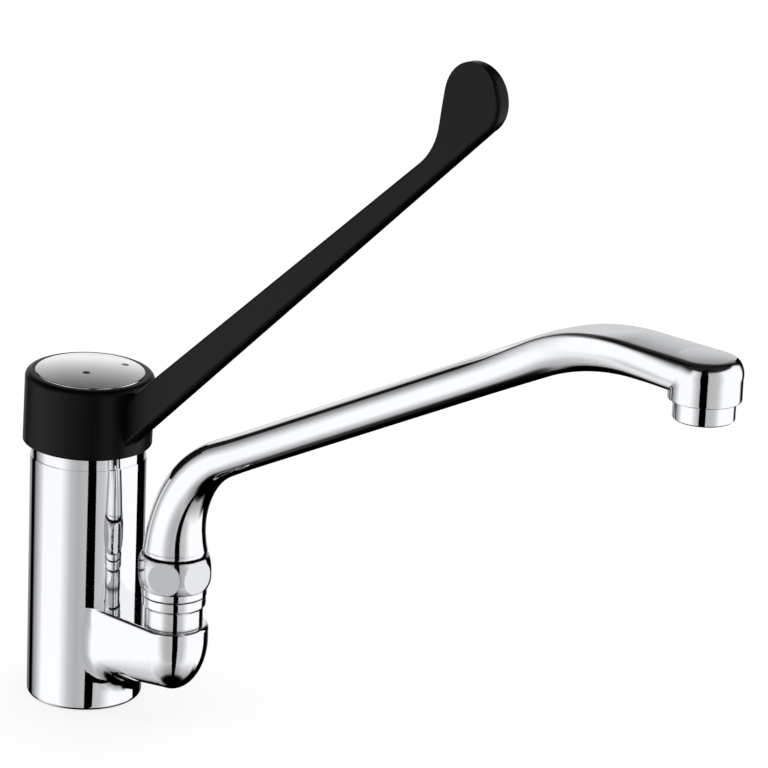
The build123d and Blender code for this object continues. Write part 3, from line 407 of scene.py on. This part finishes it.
# Turned solid about an upright axis, from its closed profile of radii and heights
def turn_profile(bm, axis_x, profile):
    rings = []
    for index in range(TURN_SEGMENTS):
        angle = math.tau * index / TURN_SEGMENTS
        ring = []
        for radius, height in profile:
            x = axis_x + radius * math.cos(angle)
            ring.append(bm.verts.new((x * MM, radius * math.sin(angle) * MM, height * MM)))
        rings.append(ring)
    for index in range(TURN_SEGMENTS):
        first = rings[index]
        second = rings[(index + 1) % TURN_SEGMENTS]
        for k in range(len(profile) - 1):
            bm.faces.new((first[k], second[k], second[k + 1], first[k + 1]))
        bm.faces.new((first[-1], second[-1], second[0], first[0]))
    bmesh.ops.remove_doubles(bm, verts=bm.verts, dist=MERGE_DISTANCE)


def unit(start, end):
    length = math.hypot(end[0] - start[0], end[1] - start[1])
    return (end[0] - start[0]) / length, (end[1] - start[1]) / length


# Corner of a profile rounded off
def rounded(before, corner, after, radius):
    u = unit(corner, before)
    v = unit(corner, after)
    half = math.acos(max(-1.0, min(1.0, u[0] * v[0] + u[1] * v[1]))) / 2
    reach = radius / math.tan(half)
    start = (corner[0] + u[0] * reach, corner[1] + u[1] * reach)
    end = (corner[0] + v[0] * reach, corner[1] + v[1] * reach)
    points = []
    for k in range(ROUND_STEPS + 1):
        t = k / ROUND_STEPS
        a = (1 - t) ** 2
        b = 2 * t * (1 - t)
        c = t * t
        x = a * start[0] + b * corner[0] + c * end[0]
        y = a * start[1] + b * corner[1] + c * end[1]
        points.append((x, y))
    return points


def new_piece(name, bm):
    mesh = bpy.data.meshes.new(name)
    bmesh.ops.recalc_face_normals(bm, faces=bm.faces)
    bm.to_mesh(mesh)
    bm.free()
    piece = bpy.data.objects.new(name, mesh)
    scene.collection.objects.link(piece)
    return piece


def apply_modifiers(piece):
    graph = bpy.context.evaluated_depsgraph_get()
    mesh = bpy.data.meshes.new_from_object(piece.evaluated_get(graph))
    piece.modifiers.clear()
    piece.data = mesh


# Outlet boss with its bores, open below for the aerator; its shoulder is the nose's last section
boss_profile = []
for point in range(3 * RING_POINTS // 4, RING_POINTS // 2 - 1, -1):
    angle = -math.pi + math.tau * point / RING_POINTS
    radius = lines[point][-1]
    boss_profile.append((max(radius * math.cos(angle), 0.0), NOSE_HEIGHT + radius * math.sin(angle)))
boss_profile += rounded((OUTLET_RADIUS, 244.0), (OUTLET_RADIUS, OUTLET_END), (12.0, OUTLET_END), 0.8)
boss_profile += [(12.02, OUTLET_END), (12.02, 243.6), (9.0, 243.6), (9.0, 250.2), (0.0, 250.2)]
boss = bmesh.new()
turn_profile(boss, OUTLET_X, boss_profile)

# Base on the nut and stem through it, with the grooves for the ring and the seals
stem_profile = [
    (7.0, 45.0), (9.5, 45.0), (9.5, 49.9), (7.4, 49.9), (7.4, 52.1), (9.5, 52.1), (9.5, 55.9), (7.4, 55.9),
    (7.4, 58.1), (9.5, 58.1), (9.5, 76.8), (8.6, 76.8), (8.6, 80.1), (11.4, 80.1), (11.4, 85.8),
]
stem_profile += rounded((11.4, 85.8), (BASE_RADIUS, 85.8), (BASE_RADIUS, SKIN_START), 1.6)
stem_profile += [(BASE_RADIUS, 88.35), (7.0, 88.35)]
stem = bmesh.new()
turn_profile(stem, SPOUT_X, stem_profile)

# Water way cut out of the skin inside the boss
cutter_profile = [(0.0, 230.0), (12.4, 230.0), (12.4, 244.0), (9.4, 244.0), (9.4, 250.6), (0.0, 250.6)]
cutter = bmesh.new()
turn_profile(cutter, OUTLET_X, cutter_profile)
cutter_piece = new_piece("water_way", cutter)
skin_piece = new_piece("spout_sweep", skin)
cut = skin_piece.modifiers.new("cut", "BOOLEAN")
cut.operation = "DIFFERENCE"
cut.solver = "EXACT"
cut.object = cutter_piece
apply_modifiers(skin_piece)
joined = bmesh.new()
joined.from_mesh(skin_piece.data)

# The skin's closed ends give way to the boss and the stem
end_caps = [
    face for face in joined.faces
    if min(vert.co.x for vert in face.verts) > (OUTLET_X - CAP_MARGIN) * MM
    or max(vert.co.z for vert in face.verts) < (SKIN_START + CAP_MARGIN) * MM
]
bmesh.ops.delete(joined, geom=end_caps, context="FACES")
for turned_part in (boss, stem):
    turned_mesh = bpy.data.meshes.new("turned")
    bmesh.ops.recalc_face_normals(turned_part, faces=turned_part.faces)
    turned_part.to_mesh(turned_mesh)
    joined.from_mesh(turned_mesh)
    turned_part.free()
    bpy.data.meshes.remove(turned_mesh)
spout_mesh = bpy.data.meshes.new("spout_skin")
joined.to_mesh(spout_mesh)
joined.free()
spout_mesh.polygons.foreach_set("use_smooth", [True] * len(spout_mesh.polygons))
spout_mesh.set_sharp_from_angle(angle=SHARP_ANGLE)
spout_skin = bpy.data.objects.new("spout_skin", spout_mesh)
scene.collection.objects.link(spout_skin)
for helper in (skin_piece, cutter_piece):
    bpy.data.objects.remove(helper)
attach(spout_skin, "spout")
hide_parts("spout")

# Finishes
body_chrome = chrome("body_chrome")
# The neck and the nut get painted shade that darkens their crevices
neck_chrome = chrome("neck_chrome", painted_shade_reach=0.005, soft_edge=0.0007)
# The nut's colour level 0.72 makes it a darker copy of the chrome: painted shade that dims the reflections
# on its flats
nut_chrome = chrome("nut_chrome", 0.05, 0.09, painted_shade_reach=0.002, soft_edge=0.0006, level=0.72)
spout_chrome = chrome("spout_chrome", soft_edge=0.0008)
aerator_chrome = chrome("aerator_chrome")
lever_black = plastic(
    "lever_black", (0.0008, 0.0008, 0.0009), (0.0014, 0.0014, 0.0015), 0.3, 0.38, gloss=0.17,
)
cap_silver = turned_metal("cap_silver", (0.9, 0.9, 0.91), (0.96, 0.96, 0.97), 0.12, 0.18)
dot_red = plastic("dot_red", (0.06, 0.003, 0.005), (0.08, 0.005, 0.007), 0.25, 0.35, gloss=0.08)
dot_blue = plastic("dot_blue", (0.03, 0.045, 0.09), (0.04, 0.055, 0.11), 0.25, 0.35, gloss=0.2)
cartridge_plastic = plastic("cartridge_plastic", (0.6, 0.6, 0.58), (0.68, 0.68, 0.66), 0.4, 0.5)
aerator_plastic = plastic("aerator_plastic", (0.5, 0.51, 0.54), (0.56, 0.57, 0.6), 0.35, 0.45)
ceramic = plastic("ceramic", (0.78, 0.77, 0.73), (0.84, 0.83, 0.79), 0.12, 0.2)
seal_rubber = plastic("seal_rubber", (0.012, 0.012, 0.012), (0.02, 0.02, 0.02), 0.55, 0.7)
brass = turned_metal("brass", (0.72, 0.5, 0.2), (0.8, 0.58, 0.26), 0.2, 0.32)
steel = turned_metal("steel", (0.5, 0.5, 0.52), (0.6, 0.6, 0.62), 0.2, 0.3)

finishes = {
    "mixer_body": body_chrome,
    "cover_ring": body_chrome,
    "outlet_neck": neck_chrome,
    "swivel_nut": nut_chrome,
    "spout": spout_chrome,
    "aerator_housing": aerator_chrome,
    "lever": lever_black,
    "index_cap": cap_silver,
    "red_dot": dot_red,
    "blue_dot": dot_blue,
    "aerator_insert": aerator_plastic,
    "retaining_ring": cartridge_plastic,
    "cartridge_base": cartridge_plastic,
    "disc_carrier": cartridge_plastic,
    "cartridge_housing": cartridge_plastic,
    "rotor": cartridge_plastic,
    "fixed_disc": ceramic,
    "moving_disc": ceramic,
    "base_gasket": seal_rubber,
    "neck_seal": seal_rubber,
    "spout_seals": seal_rubber,
    "aerator_washer": seal_rubber,
    "port_seals": seal_rubber,
    "clamp_nut": brass,
    "cartridge_stem": brass,
    "pivot_pin": steel,
    "lever_insert": steel,
    "lever_screw": steel,
}
for node_name, finish in finishes.items():
    for slot in nodes[node_name].material_slots:
        slot.material = finish
spout_mesh.materials.append(spout_chrome)


# Studio: a light tent, open at the top and behind, with dark edges that draw the lines in the chrome

TENT_LEVEL = 1.12
LAMP_LEVEL = 0.75
FLOOR_HALF = 6.0
FLOOR_DROP = 0.0002
FLOOR_SHADE = (0.5, 0.5, 0.5, 1.0)
FLOOR_GLOW = (0.66, 0.66, 0.66, 1.0)
WHITE = (1.0, 1.0, 1.0, 1.0)
TENT_TINT = (0.985, 0.99, 1.0, 1.0)
DARK_CARD = ((0.0, 0.0), (1.0, 0.0))


def add_math(tree, operation, first, second=None, third=None):
    node = tree.nodes.new("ShaderNodeMath")
    node.operation = operation
    for socket, value in zip(node.inputs, (first, second, third)):
        if value is None:
            continue
        if isinstance(value, (int, float)):
            socket.default_value = value
        else:
            tree.links.new(value, socket)
    return node.outputs["Value"]


# Brightness along an angle in degrees or a share, given as (place, level) stops
def add_band(tree, angle, stops):
    first = stops[0][0]
    span = stops[-1][0] - first
    ramp = tree.nodes.new("ShaderNodeValToRGB")
    elements = ramp.color_ramp.elements
    while len(elements) < len(stops):
        elements.new(0.5)
    for element, (stop, shade) in zip(elements, stops):
        element.position = (stop - first) / span
        element.color = (shade, shade, shade, 1.0)
    place = add_math(tree, "SUBTRACT", angle, float(first))
    place = add_math(tree, "DIVIDE", place, float(span))
    tree.links.new(place, ramp.inputs["Fac"])
    return add_math(tree, "MULTIPLY", ramp.outputs["Color"], 1.0)


# From one value to another by a weight
def blend_values(tree, weight, low, high):
    step = add_math(tree, "SUBTRACT", high, low)
    return add_math(tree, "MULTIPLY_ADD", step, weight, low)


world = bpy.data.worlds.new("studio")
scene.world = world
world.use_nodes = True
sky = world.node_tree
sky.nodes.clear()
coords = sky.nodes.new("ShaderNodeTexCoord")
turned = sky.nodes.new("ShaderNodeVectorRotate")
turned.rotation_type = "Z_AXIS"
turned.inputs["Angle"].default_value = -AZIMUTH
sky.links.new(coords.outputs["Generated"], turned.inputs["Vector"])
axes = sky.nodes.new("ShaderNodeSeparateXYZ")
sky.links.new(turned.outputs["Vector"], axes.inputs["Vector"])
ahead = add_math(sky, "MULTIPLY", axes.outputs["Y"], -1.0)
round_angle = add_math(sky, "DEGREES", add_math(sky, "ARCTAN2", axes.outputs["X"], ahead))
rise_angle = add_math(sky, "DEGREES", add_math(sky, "ARCSINE", axes.outputs["Z"]))

# Walls of the tent, by the angle round from the photograph's side
walls = add_band(sky, round_angle, (
    (-180, 0.62), (-148, 0.58), (-141, 0.0), (-127, 0.0), (-121, 0.28), (-112, 0.43), (-100, 0.72),
    (-92, 1.0), (-50, 1.0), (-40, 0.78), (-29, 0.53), (-14, 0.43), (0, 0.48), (22, 0.5), (36, 0.56),
    (48, 0.82), (56, 1.0), (128, 1.0), (140, 0.0), (152, 0.0), (165, 0.55), (180, 0.62),
))
# Floor of the tent, lit from the left and dark behind
ground = add_band(sky, round_angle, (
    (-180, 0.0), (-158, 0.0), (-148, 0.6), (-130, 1.0), (-60, 1.0), (-40, 0.75), (-14, 0.6), (20, 0.6),
    (50, 0.95), (95, 0.9), (112, 0.0), (180, 0.0),
))
low = add_band(sky, rise_angle, ((-90, 0.0), (-46, 0.0), (-38, 1.0), (90, 1.0)))
around = blend_values(sky, low, ground, walls)
fall = add_band(sky, rise_angle, (
    (-90, 0.0), (-72, 0.0), (-68, 0.06), (-64, 0.4), (-54, 0.6), (-44, 0.9), (-38, 1.0), (90, 1.0),
))

# The open top: dark overhead, fading up the rear and the left wall
front_top = add_band(sky, rise_angle, ((-90, 1.0), (30, 1.0), (38, 0.75), (43, 0.02), (90, 0.02)))
rear_top = add_band(sky, rise_angle, (
    (-90, 1.0), (4, 1.0), (13, 1.05), (17.5, 0.86), (20, 0.66), (23, 0.46), (27, 0.24), (32, 0.04),
    (90, 0.01),
))
behind = add_band(sky, ahead, ((-1.0, 1.0), (-0.75, 1.0), (-0.4, 0.0), (1.0, 0.0)))
left_top = add_band(sky, rise_angle, (
    (-90, 1.0), (4, 1.0), (11, 0.88), (18, 0.62), (25, 0.36), (32, 0.14), (38, 0.02), (90, 0.01),
))
left = add_band(sky, round_angle, (
    (-180, 0.0), (-125, 0.0), (-112, 1.0), (-62, 1.0), (-45, 0.0), (180, 0.0),
))
top = blend_values(sky, left, blend_values(sky, behind, front_top, rear_top), left_top)

# Dark behind the object low down
rear_low = add_band(sky, rise_angle, (
    (-90, 0.0), (-30, 0.0), (-25, 0.1), (-20, 0.5), (-15, 1.0), (90, 1.0),
))
rear = add_band(sky, ahead, ((-1.0, 1.0), (-0.7, 1.0), (-0.55, 0.0), (1.0, 0.0)))
low_rear = blend_values(sky, rear, 1.0, rear_low)
lower = add_math(sky, "MULTIPLY", around, fall)
upper = add_math(sky, "MULTIPLY", top, low_rear)
tent = add_math(sky, "MULTIPLY", lower, upper)

# The camera sees white, gloss mirrors the tent, and everything else is lit evenly
sky_path = sky.nodes.new("ShaderNodeLightPath")
seen = sky.nodes.new("ShaderNodeBackground")
seen.inputs["Color"].default_value = WHITE
seen.inputs["Strength"].default_value = 1.0
lit = sky.nodes.new("ShaderNodeBackground")
lit.inputs["Color"].default_value = WHITE
lit.inputs["Strength"].default_value = LAMP_LEVEL
mirrored = sky.nodes.new("ShaderNodeBackground")
mirrored.inputs["Color"].default_value = TENT_TINT
sky.links.new(add_math(sky, "MULTIPLY", tent, TENT_LEVEL), mirrored.inputs["Strength"])
glossy_mix = sky.nodes.new("ShaderNodeMixShader")
sky.links.new(sky_path.outputs["Is Glossy Ray"], glossy_mix.inputs["Fac"])
sky.links.new(lit.outputs["Background"], glossy_mix.inputs[1])
sky.links.new(mirrored.outputs["Background"], glossy_mix.inputs[2])
camera_mix = sky.nodes.new("ShaderNodeMixShader")
sky.links.new(sky_path.outputs["Is Camera Ray"], camera_mix.inputs["Fac"])
sky.links.new(glossy_mix.outputs["Shader"], camera_mix.inputs[1])
sky.links.new(seen.outputs["Background"], camera_mix.inputs[2])
sky_out = sky.nodes.new("ShaderNodeOutputWorld")
sky.links.new(camera_mix.outputs["Shader"], sky_out.inputs["Surface"])


# Point of the studio, by its distance to the right of the faucet's axis and towards the camera
SIDEWAYS = Vector((math.cos(AZIMUTH), math.sin(AZIMUTH), 0.0))
FORWARD = Vector((math.sin(AZIMUTH), -math.cos(AZIMUTH), 0.0))


def studio_point(sideways, forward, height):
    return SIDEWAYS * sideways + FORWARD * forward + Vector((0.0, 0.0, height))


# Upright card that only gloss mirrors, from one point of the studio to another, shaded upwards
# by (share of the height, level) stops
def upright_card(name, first, last, bottom, top, stops=DARK_CARD):
    points = []
    faces = []
    for index, (share, _) in enumerate(stops):
        points.append(studio_point(*first, bottom).lerp(studio_point(*first, top), share))
        points.append(studio_point(*last, bottom).lerp(studio_point(*last, top), share))
        if index:
            base = 2 * index
            faces.append((base - 2, base - 1, base + 1, base))
    mesh = bpy.data.meshes.new(name)
    mesh.from_pydata(points, [], faces)
    shades = mesh.color_attributes.new("shade", "FLOAT_COLOR", "POINT")
    for index in range(len(points)):
        shade = stops[index // 2][1]
        shades.data[index].color = (shade, shade, shade, 1.0)
    material = bpy.data.materials.new(name)
    material.use_nodes = True
    tree = material.node_tree
    tree.nodes.clear()
    colour = tree.nodes.new("ShaderNodeVertexColor")
    colour.layer_name = "shade"
    glow = tree.nodes.new("ShaderNodeEmission")
    glow.inputs["Strength"].default_value = 1.0
    tree.links.new(colour.outputs["Color"], glow.inputs["Color"])
    out = tree.nodes.new("ShaderNodeOutputMaterial")
    tree.links.new(glow.outputs["Emission"], out.inputs["Surface"])
    mesh.materials.append(material)
    card = bpy.data.objects.new(name, mesh)
    scene.collection.objects.link(card)
    card.visible_camera = False
    card.visible_diffuse = False
    card.visible_shadow = False


# The slot that the photograph was taken through
upright_card("camera_slot", (0.060, 0.763), (0.290, 0.763), -2.2, 0.95)
# Edge of the tent at the right, behind the body
upright_card("right_edge", (0.690, -0.364), (0.480, -0.585), -2.0, 0.6)
# Rear wall behind the body, which the cap mirrors: bright low down, dark at the top
upright_card("rear_wall", (-0.22, -0.6), (0.10, -0.6), 0.15, 0.70, (
    (0.0, 0.66), (0.1, 0.86), (0.19, 1.0), (0.28, 0.86), (0.38, 0.64), (0.51, 0.44), (0.66, 0.28),
    (0.82, 0.15), (1.0, 0.12),
))

# Floor: white, with the object's soft shadow
floor_corners = [(x * FLOOR_HALF, y * FLOOR_HALF, 0) for x, y in ((-1, -1), (1, -1), (1, 1), (-1, 1))]
floor_mesh = bpy.data.meshes.new("floor")
floor_mesh.from_pydata(floor_corners, [], [(0, 1, 2, 3)])
floor = bpy.data.objects.new("floor", floor_mesh)
scene.collection.objects.link(floor)
floor.location.z = cad_bounds[0][2] - FLOOR_DROP
floor_material, floor_tree, floor_shader = new_material("floor")
floor_shader.inputs["Base Color"].default_value = FLOOR_SHADE
floor_shader.inputs["Roughness"].default_value = 1.0
floor_shader.inputs["Specular IOR Level"].default_value = 0.0
floor_path = floor_tree.nodes.new("ShaderNodeLightPath")
floor_glow = floor_tree.nodes.new("ShaderNodeEmission")
floor_tree.links.new(floor_path.outputs["Is Camera Ray"], floor_glow.inputs["Strength"])
floor_glow.inputs["Color"].default_value = FLOOR_GLOW
floor_mix = floor_tree.nodes.new("ShaderNodeAddShader")
floor_tree.links.new(floor_shader.outputs["BSDF"], floor_mix.inputs[0])
floor_tree.links.new(floor_glow.outputs["Emission"], floor_mix.inputs[1])
floor_out = floor_tree.nodes["Material Output"]
floor_tree.links.new(floor_mix.outputs["Shader"], floor_out.inputs["Surface"])
floor_mesh.materials.append(floor_material)
floor.visible_glossy = False

scene.view_settings.view_transform = "Standard"
